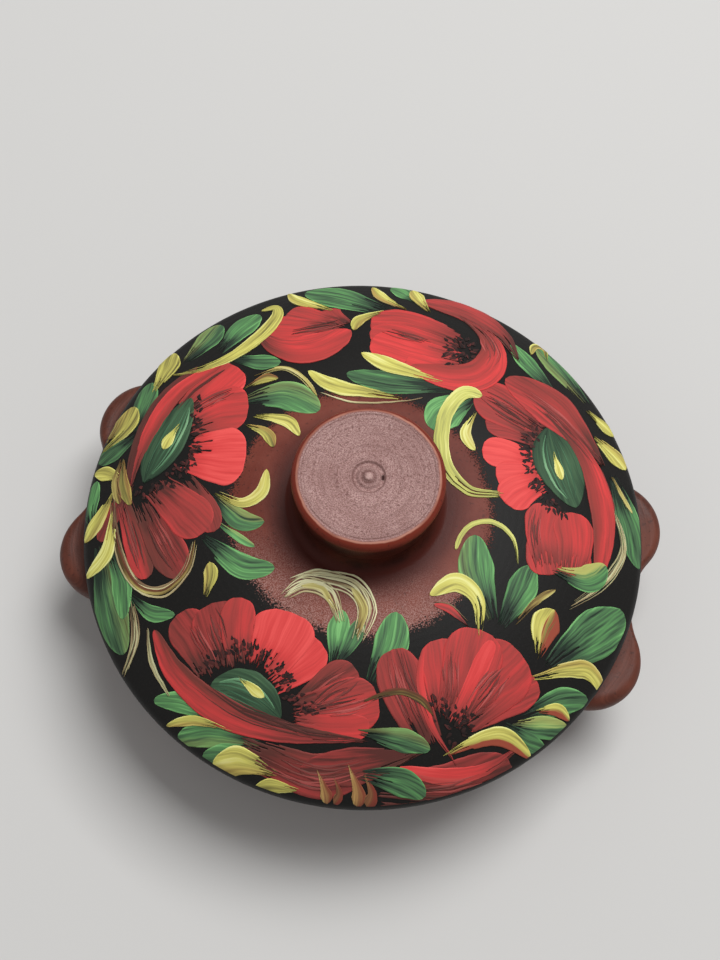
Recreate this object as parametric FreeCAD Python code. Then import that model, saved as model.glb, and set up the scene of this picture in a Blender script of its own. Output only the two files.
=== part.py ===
import FreeCAD, Part
import math
import os

# Tagine pot: a thrown clay dish with two lobed ears, and a low domed lid with a drum knob.
# Millimetres, +Z up. The origin is on the surface that the pot stands on, in the middle of the
# foot, and the ears point along +X and -X.

# Lid, measured up from the plane where it sits on the dish
lid_radius = 130.0          # outermost edge of the rim
lid_edge_height = 7.0       # edge of the rim, from the seat up to where it meets the dome
lid_rim_round = 3.0         # rounding where the dome turns into the edge
lid_lower_round = 2.0       # rounding under the edge
lid_crown_rise = 38.0       # knob's seat above the lid's seat
lid_wall = 7.0
flange_depth = 9.0          # ring under the lid that drops into the dish's mouth
flange_wall = 6.0
flange_round = 2.0

# Fit of the lid on the dish
lid_overhang = 4.0          # lid's edge beyond the dish's rim, all round
seat_gap = 0.3              # between the lid's seat and the dish's rim
flange_clearance = 1.5      # between the flange and the dish's mouth, on the radius

# Knob, measured up from its seat on the lid's crown
knob_radius = 33.4
knob_height = 29.0
knob_neck_radius = 30.8
knob_foot_radius = 36.0
knob_foot_edge = 0.6        # upright edge of the flared foot
knob_flare_height = 9.0     # from the foot's edge to the neck
knob_edge_round = 3.4
knob_top_dip = 1.2          # how far the top is dished
knob_ring_radius = 7.0      # middle of the turned ring round the nub
knob_ring_width = 1.6
knob_ring_depth = 0.5
nub_radius = 2.2
nub_height = 1.4
crown_ledge = 1.5           # flat of the crown that shows round the knob's foot

# Dish
dish_height = 56.0
dish_wall = 8.0
dish_floor = 9.5
dish_rim_band = 10.0        # upright band below the rim
dish_rim_round = 2.0
foot_radius = 84.0
foot_width = 12.0
foot_height = 4.0
foot_round = 1.5
foot_recess = 2.5           # hollow inside the foot ring

# Ears
ear_reach = 13.0            # lobes' outermost point beyond the dish's rim, along X
ear_lobe_radius = 24.0
ear_lobe_half_pitch = 33.0  # from the middle of the ear to the middle of a lobe
ear_notch_radius = 41.0     # hollow for the thumb between the lobes
ear_root_depth = 25.0       # how far the blank runs into the dish before it is cut to the wall
ear_thickness = 14.0
ear_edge_round = 5.5
ear_drop = 6.0              # top of the ear below the dish's rim

# Sizes that follow from those above
dish_radius = lid_radius - lid_overhang
mouth_radius = dish_radius - dish_wall
seat_z = dish_height + seat_gap
crown_z = seat_z + lid_crown_rise
crown_radius = knob_foot_radius + crown_ledge
flange_radius = mouth_radius - flange_clearance
lobe_x = dish_radius + ear_reach - ear_lobe_radius
ear_root_x = lobe_x - ear_root_depth
ear_top_z = dish_height - ear_drop

ellipse_weight = math.sqrt(0.5)  # makes a three-pole curve an exact quarter of an ellipse
same = 0.001                     # lengths closer than this count as equal


def point(radius, z):
    return FreeCAD.Vector(radius, 0, z)


def line(start, end):
    return Part.LineSegment(start, end).toShape()


def rounded(start, corner, end):
    # Curve that leaves start towards corner and arrives at end from corner.
    curve = Part.BezierCurve()
    curve.setPoles([start, corner, end])
    curve.setWeight(2, ellipse_weight)
    return curve.toShape()


def outline(*steps):
    # Closed outline. A step is a point, reached by a straight line, or a (corner, end) pair.
    edges = []
    here = steps[0]
    for step in steps[1:] + (steps[0],):
        if isinstance(step, tuple):
            corner, end = step
            edges.append(rounded(here, corner, end))
        else:
            end = step
            edges.append(line(here, end))
        here = end
    return edges


def revolved(edges):
    face = Part.Face(Part.Wire(edges))
    return face.revolve(FreeCAD.Vector(0, 0, 0), FreeCAD.Vector(0, 0, 1), 360)


def dish_outside():
    # From the middle of the underside, out round the foot and up to the edge of the rim.
    turn_z = dish_height - dish_rim_band
    foot_inner = foot_radius - foot_width
    return [
        point(0, foot_recess),
        point(foot_inner - foot_recess, foot_recess),
        (point(foot_inner, foot_recess), point(foot_inner, 0)),
        point(foot_radius - foot_round, 0),
        (point(foot_radius, 0), point(foot_radius, foot_round)),
        point(foot_radius, foot_height),
        (point(dish_radius, foot_height), point(dish_radius, turn_z)),
        point(dish_radius, dish_height - dish_rim_round),
        (point(dish_radius, dish_height), point(dish_radius - dish_rim_round, dish_height)),
    ]


def base_dish():
    turn_z = dish_height - dish_rim_band
    floor_z = foot_recess + dish_floor
    inside = [
        point(mouth_radius + dish_rim_round, dish_height),
        (point(mouth_radius, dish_height), point(mouth_radius, dish_height - dish_rim_round)),
        point(mouth_radius, turn_z),
        (point(mouth_radius, floor_z), point(foot_radius, floor_z)),
        point(0, floor_z),
    ]
    return revolved(outline(*dish_outside(), *inside))


def dish_filled():
    # The dish's outside as one block, to cut the ears to the curve of the wall.
    return revolved(outline(*dish_outside(), point(0, dish_height)))


def ear_blank_outline():
    # Plan of the ear on +X: two lobes with a hollow between them that runs smoothly into both.
    half_pitch = ear_lobe_half_pitch
    reach = ear_lobe_radius + ear_notch_radius
    notch_x = lobe_x + math.sqrt(reach ** 2 - half_pitch ** 2)
    share = ear_lobe_radius / reach
    join_x = lobe_x + (notch_x - lobe_x) * share
    join_y = half_pitch * (1 - share)
    side_y = half_pitch + ear_lobe_radius
    tip = ear_lobe_radius * math.cos(math.radians(45))

    def plan(x, y):
        return FreeCAD.Vector(x, y, ear_top_z - ear_thickness)

    def lobe(start, sign, end):
        middle = plan(lobe_x + tip, sign * (half_pitch + tip))
        return Part.Arc(start, middle, end).toShape()

    hollow = Part.Arc(plan(join_x, -join_y), plan(notch_x - ear_notch_radius, 0), plan(join_x, join_y))
    return [
        line(plan(ear_root_x, side_y), plan(ear_root_x, -side_y)),
        line(plan(ear_root_x, -side_y), plan(lobe_x, -side_y)),
        lobe(plan(lobe_x, -side_y), -1, plan(join_x, -join_y)),
        hollow.toShape(),
        lobe(plan(join_x, join_y), 1, plan(lobe_x, side_y)),
        line(plan(lobe_x, side_y), plan(ear_root_x, side_y)),
    ]


def right_ear():
    face = Part.Face(Part.Wire(ear_blank_outline()))
    blank = face.extrude(FreeCAD.Vector(0, 0, ear_thickness))
    level_edges = [
        edge for edge in blank.Edges
        if edge.BoundBox.ZLength < same and edge.BoundBox.XMax > ear_root_x + same
    ]
    return blank.makeFillet(ear_edge_round, level_edges).cut(dish_filled())


def left_ear():
    return right_ear().mirror(FreeCAD.Vector(0, 0, 0), FreeCAD.Vector(1, 0, 0))


def lid_shell():
    # The dome is an arc that leaves the flat crown level and comes down to the rim's edge.
    run = lid_radius - crown_radius
    fall = lid_crown_rise - lid_edge_height
    dome_radius = (run ** 2 + fall ** 2) / (2 * fall)
    centre_z = crown_z - dome_radius
    inner_radius = dome_radius - lid_wall
    flange_inner = flange_radius - flange_wall
    end_angle = math.acos((run - lid_rim_round) / dome_radius)
    flange_angle = math.acos((flange_inner - crown_radius) / inner_radius)

    def on_dome(radius, angle):
        return point(crown_radius + radius * math.cos(angle), centre_z + radius * math.sin(angle))

    def dome(radius, low_angle):
        middle = on_dome(radius, (math.pi / 2 + low_angle) / 2)
        return Part.Arc(on_dome(radius, math.pi / 2), middle, on_dome(radius, low_angle)).toShape()

    flange_top = on_dome(inner_radius, flange_angle)
    flange_z = seat_z - flange_depth
    rim_corner = point(lid_radius, seat_z + lid_edge_height)
    rim_side = point(lid_radius, rim_corner.z - lid_rim_round)
    under = point(lid_radius - lid_lower_round, seat_z)
    edges = [
        line(point(0, crown_z), point(crown_radius, crown_z)),
        dome(dome_radius, end_angle),
        rounded(on_dome(dome_radius, end_angle), rim_corner, rim_side),
        line(rim_side, point(lid_radius, seat_z + lid_lower_round)),
        rounded(point(lid_radius, seat_z + lid_lower_round), point(lid_radius, seat_z), under),
        line(under, point(flange_radius, seat_z)),
        line(point(flange_radius, seat_z), point(flange_radius, flange_z + flange_round)),
        rounded(
            point(flange_radius, flange_z + flange_round),
            point(flange_radius, flange_z),
            point(flange_radius - flange_round, flange_z),
        ),
        line(point(flange_radius - flange_round, flange_z), point(flange_inner, flange_z)),
        line(point(flange_inner, flange_z), flange_top),
        dome(inner_radius, flange_angle),
        line(point(crown_radius, crown_z - lid_wall), point(0, crown_z - lid_wall)),
        line(point(0, crown_z - lid_wall), point(0, crown_z)),
    ]
    return revolved(edges)


def lid_knob():
    top_z = crown_z + knob_height
    flare_z = crown_z + knob_foot_edge
    neck_z = flare_z + knob_flare_height
    dip_z = top_z - knob_top_dip
    ring_inner = knob_ring_radius - knob_ring_width / 2
    ring_outer = knob_ring_radius + knob_ring_width / 2
    nub_z = dip_z + nub_height
    steps = [
        point(0, crown_z),
        point(knob_foot_radius, crown_z),
        point(knob_foot_radius, flare_z),
        (point(knob_neck_radius, flare_z), point(knob_neck_radius, neck_z)),
        point(knob_radius, top_z - knob_edge_round),
        (point(knob_radius, top_z), point(knob_radius - knob_edge_round, top_z)),
        point(ring_outer, dip_z),
        (point(knob_ring_radius, dip_z - knob_ring_depth), point(ring_inner, dip_z)),
        point(nub_radius, dip_z),
        (point(nub_radius, nub_z), point(0, nub_z)),
    ]
    return revolved(outline(*steps))


nodes = {
    "base_dish": base_dish,
    "ear_right": right_ear,
    "ear_left": left_ear,
    "lid_shell": lid_shell,
    "lid_knob": lid_knob,
}

os.makedirs("parts", exist_ok=True)
for name, make in nodes.items():
    shape = make()
    shape.exportStep("parts/" + name + ".step")
    print(name, shape.ShapeType, "solids", len(shape.Solids), "cc", round(shape.Volume / 1000, 1),
          "valid", shape.isValid())
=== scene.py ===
import bpy
import math
import random
from mathutils import Matrix, Vector


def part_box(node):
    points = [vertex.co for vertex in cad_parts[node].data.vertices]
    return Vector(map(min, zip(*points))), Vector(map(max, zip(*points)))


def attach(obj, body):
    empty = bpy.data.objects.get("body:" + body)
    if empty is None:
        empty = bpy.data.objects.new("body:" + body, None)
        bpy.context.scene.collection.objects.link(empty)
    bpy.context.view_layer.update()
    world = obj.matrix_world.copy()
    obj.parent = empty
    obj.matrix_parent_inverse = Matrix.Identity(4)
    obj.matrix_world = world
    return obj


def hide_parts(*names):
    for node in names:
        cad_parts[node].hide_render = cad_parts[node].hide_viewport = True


# Clay tagine pot: lobed dish, low domed lid with a drum knob, and a folk-style wreath of poppies
# brushed over a black ground. Lengths in the dictionaries are millimetres, in the frame's own axes.
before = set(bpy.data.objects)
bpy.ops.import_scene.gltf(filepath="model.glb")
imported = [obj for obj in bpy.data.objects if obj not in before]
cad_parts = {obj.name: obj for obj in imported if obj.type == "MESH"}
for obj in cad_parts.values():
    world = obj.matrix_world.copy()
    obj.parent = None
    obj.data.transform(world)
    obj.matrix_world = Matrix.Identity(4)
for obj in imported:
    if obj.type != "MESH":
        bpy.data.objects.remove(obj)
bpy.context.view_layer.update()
mm = 0.001
print("frame loaded, nodes", sorted(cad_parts))


# Small helpers for node trees

class Wire:
    # An output of a node. Arithmetic with wires and plain numbers makes the math nodes.
    def __init__(self, socket):
        self.socket = socket
        self.tree = socket.id_data

    def beside(self, name):
        # another output of the same node
        return Wire(self.socket.node.outputs[name])

    def __abs__(self):
        return calc("ABSOLUTE", self)


def addOperator(sign, operation):
    setattr(Wire, "__" + sign + "__", lambda wire, other: calc(operation, wire, other))
    setattr(Wire, "__r" + sign + "__", lambda wire, other: calc(operation, other, wire))


for sign, operation in (("add", "ADD"), ("sub", "SUBTRACT"), ("mul", "MULTIPLY"), ("truediv", "DIVIDE"),
                        ("pow", "POWER")):
    addOperator(sign, operation)


def feed(socket, value):
    if isinstance(value, Wire):
        value.tree.links.new(value.socket, socket)
    else:
        socket.default_value = value


def addNode(tree, kind, inputs=None, take=0, **settings):
    # take is the output that is handed on
    made = tree.nodes.new(kind)
    for name, value in settings.items():
        setattr(made, name, value)
    for key, value in (inputs or {}).items():
        feed(made.inputs[key], value)
    return Wire(made.outputs[take])


def treeOf(values):
    return next(value.tree for value in values if isinstance(value, Wire))


def calc(operation, *values):
    return addNode(treeOf(values), "ShaderNodeMath", dict(enumerate(values)), operation=operation)


def vectorCalc(operation, *values):
    take = "Value" if operation in ("LENGTH", "DOT_PRODUCT") else "Vector"
    return addNode(treeOf(values), "ShaderNodeVectorMath", dict(enumerate(values)), take, operation=operation)


def scaled(vector, amount):
    return addNode(vector.tree, "ShaderNodeVectorMath", {0: vector, "Scale": amount}, operation="SCALE")


def join(x, y, z):
    return addNode(treeOf((x, y, z)), "ShaderNodeCombineXYZ", {0: x, 1: y, 2: z})


def split(vector):
    x = addNode(vector.tree, "ShaderNodeSeparateXYZ", {0: vector})
    return x, x.beside("Y"), x.beside("Z")


def flattened(where):
    x, y = split(where)[:2]
    return join(x, y, 0.0)


def fromAxis(where):
    return vectorCalc("LENGTH", flattened(where))


def rise(value, low, high, start=0.0, end=1.0, kind="SMOOTHSTEP"):
    inputs = {"Value": value, "From Min": low, "From Max": high, "To Min": start, "To Max": end}
    return addNode(value.tree, "ShaderNodeMapRange", inputs, "Result", interpolation_type=kind)


def noise(vector, scale, detail=2.0, roughness=0.5):
    inputs = {"Vector": vector, "Scale": scale, "Detail": detail, "Roughness": roughness}
    return addNode(vector.tree, "ShaderNodeTexNoise", inputs, "Fac")


def blendColour(factor, first, second):
    made = factor.tree.nodes.new("ShaderNodeMix")
    made.data_type = "RGBA"
    colours = [socket for socket in made.inputs if socket.type == "RGBA"]
    feed(made.inputs[0], factor)
    feed(colours[0], first)
    feed(colours[1], second)
    return Wire(next(socket for socket in made.outputs if socket.type == "RGBA"))


def newTree(name, kind, inputs, outputs):
    # An input is given by its starting value, or by the name of its kind where it has none.
    tree = bpy.data.node_groups.new(name, kind + "NodeTree")
    for label, start in inputs.items():
        socketKind = start if isinstance(start, str) else type(start).__name__.capitalize()
        made = tree.interface.new_socket(label, in_out="INPUT", socket_type="NodeSocket" + socketKind)
        if not isinstance(start, str):
            made.default_value = start
    for label, socketKind in outputs.items():
        tree.interface.new_socket(label, in_out="OUTPUT", socket_type="NodeSocket" + socketKind)
    given = {socket.name: Wire(socket) for socket in tree.nodes.new("NodeGroupInput").outputs}
    return tree, given, tree.nodes.new("NodeGroupOutput").inputs


def named(tree, name, dataType="FLOAT"):
    return addNode(tree, "GeometryNodeInputNamedAttribute", {"Name": name}, "Attribute", data_type=dataType)


def store(geometry, name, value, dataType="FLOAT"):
    inputs = {"Geometry": geometry, "Name": name, "Value": value}
    return addNode(geometry.tree, "GeometryNodeStoreNamedAttribute", inputs, data_type=dataType,
                   domain="POINT")


def withFinish(geometry, finish):
    real = addNode(geometry.tree, "GeometryNodeRealizeInstances", {"Geometry": geometry})
    return addNode(geometry.tree, "GeometryNodeSetMaterial", {"Geometry": real, "Material": finish})


def colour(red, green, blue):
    # 0 to 255 as read off a screen, turned into the linear values that the nodes take
    def linear(level):
        level = level / 255
        return level / 12.92 if level <= 0.04045 else ((level + 0.055) / 1.055) ** 2.4
    return (linear(red), linear(green), linear(blue), 1.0)


def inMetres(sizes, *names):
    return [sizes[name] * mm for name in names]


def newObject(name, data):
    made = bpy.data.objects.new(name, data)
    bpy.context.scene.collection.objects.link(made)
    return made


def newLines(name, points, edges, values):
    # A mesh of bare edges, with named numbers for each point, that a Geometry Nodes tree works on.
    mesh = bpy.data.meshes.new(name)
    mesh.from_pydata(points, edges, [])
    for label, numbers in values.items():
        mesh.attributes.new(label, "FLOAT", "POINT").data.foreach_set("value", numbers)
    return newObject(name, mesh)


def runTree(source, tree, values, name):
    # Runs a Geometry Nodes tree on a source object and keeps what it makes as a plain mesh.
    modifier = source.modifiers.new(tree.name, "NODES")
    modifier.node_group = tree
    for item in tree.interface.items_tree:
        if item.item_type == "SOCKET" and item.in_out == "INPUT" and item.name in values:
            modifier[item.identifier] = values[item.name]
    graph = bpy.context.evaluated_depsgraph_get()
    mesh = bpy.data.meshes.new_from_object(source.evaluated_get(graph), depsgraph=graph)
    bpy.data.objects.remove(source)
    mesh.name = name
    return newObject(name, mesh)


def finished(piece, body, node):
    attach(piece, body)
    if node:
        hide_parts(node)


# Shader groups that several finishes share

def buildClayGroup():
    tree, given, result = newTree(
        "clay grain", "Shader", {"Position": "Vector", "Grain Size": 0.0008, "Blotch Size": 0.03},
        {"Blotch": "Float", "Grain": "Float", "Speck": "Float"})
    where = given["Position"]
    blotch = noise(where, 1.0 / given["Blotch Size"], 4.0, 0.55)
    specks = noise(where, 0.45 / given["Grain Size"], 1.0, 0.4)
    feed(result["Blotch"], rise(blotch, 0.32, 0.68))
    feed(result["Grain"], noise(where, 1.0 / given["Grain Size"], 3.0, 0.6))
    feed(result["Speck"], rise(specks, 0.64, 0.72))
    return tree


def buildRingGroup():
    # Fine turning marks: bands by distance from the axis and by height, broken up a little.
    tree, given, result = newTree(
        "turning marks", "Shader", {"Position": "Vector", "Pitch": 0.001, "Rise": 1.0}, {"Height": "Float"})
    where = given["Position"]
    path = fromAxis(where) + split(where)[2] * given["Rise"]
    wander = noise(where, 25.0, 1.0)
    along = join(path / given["Pitch"], wander * 2.5, 0.0)
    feed(result["Height"], noise(along, 1.0, 2.0, 0.6))
    return tree


def buildStreakGroup():
    # Bristle streaks: long along the stroke and narrow across it, different for each stroke.
    tree, given, result = newTree(
        "bristle streaks", "Shader",
        {"Along": 0.0, "Across": 0.0, "Stroke": 0.0, "Bristle": 0.0011, "Length": 0.03},
        {"Broad": "Float", "Fine": "Float"})
    lane = given["Across"] / given["Bristle"]
    reach = given["Along"] / given["Length"]
    apart = given["Stroke"] * 17.3      # far enough on in the noise to have nothing in common
    feed(result["Broad"], noise(join(lane * 0.36, reach, apart), 1.0, 1.5, 0.5))
    feed(result["Fine"], noise(join(lane, reach * 1.4, apart + 5.0), 1.0, 2.0, 0.55))
    return tree


clayGroup = buildClayGroup()
ringGroup = buildRingGroup()
streakGroup = buildStreakGroup()


def useGroup(tree, group, inputs):
    made = tree.nodes.new("ShaderNodeGroup")
    made.node_tree = group
    for name, value in inputs.items():
        feed(made.inputs[name], value)
    return {socket.name: Wire(socket) for socket in made.outputs}


def newMaterial(name, roughness, specular):
    material = bpy.data.materials.new(name)
    material.use_nodes = True
    tree = material.node_tree
    tree.nodes.clear()
    inputs = {"Roughness": roughness, "Specular IOR Level": specular}
    shader = addNode(tree, "ShaderNodeBsdfPrincipled", inputs)
    feed(tree.nodes.new("ShaderNodeOutputMaterial").inputs["Surface"], shader)
    return material, tree, shader.socket.node.inputs


def addBump(shader, height, depth):
    inputs = {"Height": height, "Distance": depth * mm}
    feed(shader["Normal"], addNode(height.tree, "ShaderNodeBump", inputs))


def clayTexture(tree, look):
    # the place on the piece, the clay's grain and blotches there, and the turning marks
    where = addNode(tree, "ShaderNodeTexCoord", take="Object")
    clay = useGroup(tree, clayGroup, {
        "Position": where, "Grain Size": look["grain"] * mm, "Blotch Size": look["blotch"] * mm})
    marks = useGroup(tree, ringGroup, {
        "Position": where, "Pitch": look["markPitch"] * mm, "Rise": look["markRise"]})
    return where, clay, marks["Height"]


# Finish of the bare clay

clayLook = {
    "deep": colour(72, 37, 28), "main": colour(102, 54, 41), "light": colour(126, 72, 56),
    "speck": colour(56, 30, 24), "inside": colour(92, 48, 36),
    "grain": 0.9, "blotch": 30.0, "markPitch": 1.6, "markRise": 1.3, "bump": 0.12,
}


def clayMaterial(name, insideShare=None):
    # Bare fired clay. insideShare gives the mask of the dish's sealed inside, where there is one.
    material, tree, shader = newMaterial(name, 0.5, 0.2)
    where, clay, marks = clayTexture(tree, clayLook)
    tint = blendColour(clay["Blotch"], clayLook["deep"], clayLook["main"])
    tint = blendColour(rise(marks, 0.45, 0.75, 0.0, 0.35), tint, clayLook["light"])    # paler on the marks
    tint = blendColour(clay["Speck"] * 0.5, tint, clayLook["speck"])
    rough = rise(clay["Blotch"], 0.0, 1.0, 0.42, 0.56)
    if insideShare:
        inside = insideShare(where)
        tint = blendColour(inside * 0.7, tint, clayLook["inside"])
        rough = rough - inside * 0.16
    feed(shader["Base Color"], tint)
    feed(shader["Roughness"], rough)
    addBump(shader, clay["Grain"] + marks * 0.8, clayLook["bump"])
    return material


# Turned pieces. A profile is a list of (radius, height, ring share) in metres that the lathe tree spins.
# The ring share says how strongly throwing marks show there, and a step between points is millimetres.

def lineTo(profile, radius, height, ring, step):
    fromRadius, fromHeight = profile[-1][:2]
    length = math.hypot(radius - fromRadius, height - fromHeight)
    count = max(1, round(length / (step * mm)))
    for k in range(1, count + 1):
        share = k / count
        profile.append((fromRadius + (radius - fromRadius) * share,
                        fromHeight + (height - fromHeight) * share, ring))


def roundTo(profile, corner, end, ring, count):
    # Quarter of an ellipse that leaves towards the corner and arrives from it.
    startRadius, startHeight = profile[-1][:2]
    for k in range(1, count + 1):
        angle = math.pi / 2 * k / count
        early, late = 1 - math.sin(angle), 1 - math.cos(angle)
        profile.append((corner[0] + (startRadius - corner[0]) * early + (end[0] - corner[0]) * late,
                        corner[1] + (startHeight - corner[1]) * early + (end[1] - corner[1]) * late, ring))


def arcTo(profile, centre, radius, fromAngle, toAngle, ring, step):
    count = max(2, round(abs(toAngle - fromAngle) * radius / (step * mm)))
    for k in range(1, count + 1):
        angle = fromAngle + (toAngle - fromAngle) * k / count
        profile.append((centre[0] + radius * math.cos(angle), centre[1] + radius * math.sin(angle), ring))


def buildLatheTree():
    tree, given, result = newTree(
        "lathe", "Geometry",
        {"Profile": "Geometry", "Segments": 192, "Ring Pitch": 0.003, "Ring Depth": 0.0001,
         "Wobble": 0.0002, "Seed": 0.0, "Finish": "Material"},
        {"Piece": "Geometry"})
    profile = given["Profile"]
    count = addNode(tree, "GeometryNodeAttributeDomainSize", {0: profile}, "Point Count")
    grid = addNode(tree, "GeometryNodeMeshGrid", {"Vertices X": given["Segments"] + 1.0, "Vertices Y": count})
    index = addNode(tree, "GeometryNodeInputIndex")
    row = calc("MODULO", index, count)
    column = calc("FLOOR", index / count)
    angle = column / given["Segments"] * (2 * math.pi)

    def sample(dataType, value):
        inputs = {"Geometry": profile, "Value": value, "Index": row}
        return addNode(tree, "GeometryNodeSampleIndex", inputs, data_type=dataType, domain="POINT")

    radius, height = split(sample("FLOAT_VECTOR", addNode(tree, "GeometryNodeInputPosition")))[::2]
    path = sample("FLOAT", named(tree, "path"))
    ring = sample("FLOAT", named(tree, "ring"))
    cosine = calc("COSINE", angle)
    sine = calc("SINE", angle)
    around = join(cosine, sine, height * 12.0)      # so that the wobble changes with height too
    lean = noise(vectorCalc("ADD", around, join(given["Seed"], 0.0, 0.0)), 0.8, 1.0)
    radius = radius + (lean - 0.5) * given["Wobble"] * ring
    turned = join(radius * cosine, radius * sine, height)
    placed = addNode(tree, "GeometryNodeSetPosition", {"Geometry": grid, "Position": turned})
    # the potter's finger leaves one long spiral, deeper here and there
    phase = path / given["Ring Pitch"] * (2 * math.pi) + angle
    uneven = noise(scaled(turned, 30.0), 1.0, 2.0)
    stored = store(placed, "spiral", calc("SINE", phase) * uneven * given["Ring Depth"] * ring)
    merged = addNode(tree, "GeometryNodeMergeByDistance", {"Geometry": stored, "Distance": 0.004 * mm})
    normal = addNode(tree, "GeometryNodeInputNormal", take="Normal")
    grooved = addNode(tree, "GeometryNodeSetPosition", {
        "Geometry": merged, "Offset": scaled(normal, named(tree, "spiral"))})
    smooth = addNode(tree, "GeometryNodeSetShadeSmooth", {"Geometry": grooved})
    feed(result["Piece"], withFinish(smooth, given["Finish"]))
    return tree


latheTree = buildLatheTree()


def turnedPiece(name, profile, sizes, finish):
    points = [(radius, 0.0, height) for radius, height, ring in profile]
    path = [0.0]
    for here, there in zip(points, points[1:]):
        path.append(path[-1] + (Vector(there) - Vector(here)).length)
    edges = [(k, k + 1) for k in range(len(points) - 1)]
    source = newLines(name + "Profile", points, edges, {"path": path, "ring": [p[2] for p in profile]})
    piece = runTree(source, latheTree, {
        "Segments": sizes["segments"], "Ring Pitch": sizes["ringPitch"] * mm,
        "Ring Depth": sizes["ringDepth"] * mm, "Wobble": sizes["wobble"] * mm,
        "Seed": sizes["seed"], "Finish": finish}, name)
    print(name, "turned,", len(piece.data.polygons), "faces")
    return piece


# Dish

dish = {
    "wall": 8.0, "floor": 9.5, "rimBand": 10.0, "rimRound": 2.0,
    "footRadius": 84.0, "footWidth": 12.0, "footHeight": 4.0, "footRound": 1.5, "footRecess": 2.5,
    "sealOut": (3.5, 1.5),       # the sealed inside fades out over this, past the mouth's radius
    "sealDown": (-4.0, -2.0),    # and over this, below the floor
    "segments": 224, "ringPitch": 4.5, "ringDepth": 0.32, "wobble": 0.5, "seed": 3.0,
}
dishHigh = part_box("base_dish")[1]
dishRadius = dishHigh.x
dishTop = dishHigh.z
turnHeight = dishTop - dish["rimBand"] * mm
footRadius = dish["footRadius"] * mm
footHeight = dish["footHeight"] * mm
mouthRadius = dishRadius - dish["wall"] * mm
floorHeight = (dish["footRecess"] + dish["floor"]) * mm


def wallRadius(height):
    # outside of the dish at a height: a quarter ellipse from the foot up to the rim's band
    if height >= turnHeight:
        return dishRadius
    drop = (turnHeight - height) / (turnHeight - footHeight)
    return footRadius + (dishRadius - footRadius) * math.sqrt(max(0.0, 1 - drop * drop))


def dishProfile():
    recess, footWidth = inMetres(dish, "footRecess", "footWidth")
    footRound, rimRound = inMetres(dish, "footRound", "rimRound")
    footInner = footRadius - footWidth
    profile = [(0.0, recess, 0.0)]
    lineTo(profile, footInner - recess, recess, 0.4, 2.5)
    roundTo(profile, (footInner, recess), (footInner, 0.0), 0.0, 6)
    lineTo(profile, footRadius - footRound, 0.0, 0.0, 4.0)
    roundTo(profile, (footRadius, 0.0), (footRadius, footRound), 0.0, 6)
    lineTo(profile, footRadius, footHeight, 0.0, 1.2)
    roundTo(profile, (dishRadius, footHeight), (dishRadius, turnHeight), 1.0, 90)
    lineTo(profile, dishRadius, dishTop - rimRound, 0.5, 1.0)
    roundTo(profile, (dishRadius, dishTop), (dishRadius - rimRound, dishTop), 0.0, 8)
    lineTo(profile, mouthRadius + rimRound, dishTop, 0.0, 2.0)
    roundTo(profile, (mouthRadius, dishTop), (mouthRadius, dishTop - rimRound), 0.0, 8)
    lineTo(profile, mouthRadius, turnHeight, 0.0, 2.0)
    roundTo(profile, (mouthRadius, floorHeight), (footRadius, floorHeight), 0.8, 44)
    lineTo(profile, 2.0 * mm, floorHeight, 0.8, 1.8)
    profile.append((0.0, floorHeight, 0.0))
    return profile


def sealedInside(where):
    # inside of the dish: nearer the axis than the wall's middle, above the floor's middle, facing in or up
    inner = rise(fromAxis(where), *(mouthRadius + out * mm for out in dish["sealOut"]))
    above = rise(split(where)[2], *(floorHeight + lift * mm for lift in dish["sealDown"]))
    facing = split(addNode(where.tree, "ShaderNodeNewGeometry", take="Normal"))[2]
    return inner * above * rise(facing, -0.2, 0.05)


basePiece = turnedPiece("dish_bowl", dishProfile(), dish, clayMaterial("dishClay", sealedInside))
finished(basePiece, "dish", "base_dish")


# Ears: a two-lobed slab on each side, luted on with a soft fillet and pressed a little for the thumb

ears = {
    "lobeRadius": 24.0, "halfPitch": 33.0, "notchRadius": 41.0, "edgeRound": 6.4,
    "sink": 2.5,          # how far the root runs into the wall
    "fillet": 4.5,        # slip smoothed into the corner at the wall
    "thumbDip": 1.6,      # depth of the hollow pressed into the top of each lobe
    "thumbSet": 9.0,      # how far in from the lobe's edge the hollow's middle is
    "thumbWidth": 14.0, "thumbReach": 8.0,
    "underFillet": 0.7, "underDip": 0.35,     # shares of the fillet and the hollow that show underneath
    "lobeWrap": 0.62,     # half turns that a lobe's arc runs back towards the wall
    "edgeLimit": 0.45,    # largest share of the ear's length that its rounded edge may take
    "edgeFullness": 0.85,
    "outlineSteps": 120, "topSteps": 22, "edgeSteps": 14,
}
earLow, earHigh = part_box("ear_right")


def earOutline():
    # Plan of the ear on +X from one side of the root to the other, metres, evenly stepped.
    lobe, pitch, notch = inMetres(ears, "lobeRadius", "halfPitch", "notchRadius")
    lobeX = earHigh.x - lobe
    notchX = lobeX + math.sqrt((lobe + notch) ** 2 - pitch ** 2)
    joinAngle = math.atan2(pitch, notchX - lobeX)
    rootAngle = math.pi * ears["lobeWrap"]
    points = []

    def arc(x, y, radius, start, end, count):
        for k in range(count):
            angle = start + (end - start) * k / count
            points.append(Vector((x + radius * math.cos(angle), y + radius * math.sin(angle), 0.0)))
    steps = ears["outlineSteps"]
    arc(lobeX, -pitch, lobe, -rootAngle, joinAngle, steps * 2 // 5)
    arc(notchX, 0.0, notch, math.pi + joinAngle, math.pi - joinAngle, steps // 5)
    arc(lobeX, pitch, lobe, -joinAngle, rootAngle, steps * 2 // 5)
    return points


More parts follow.
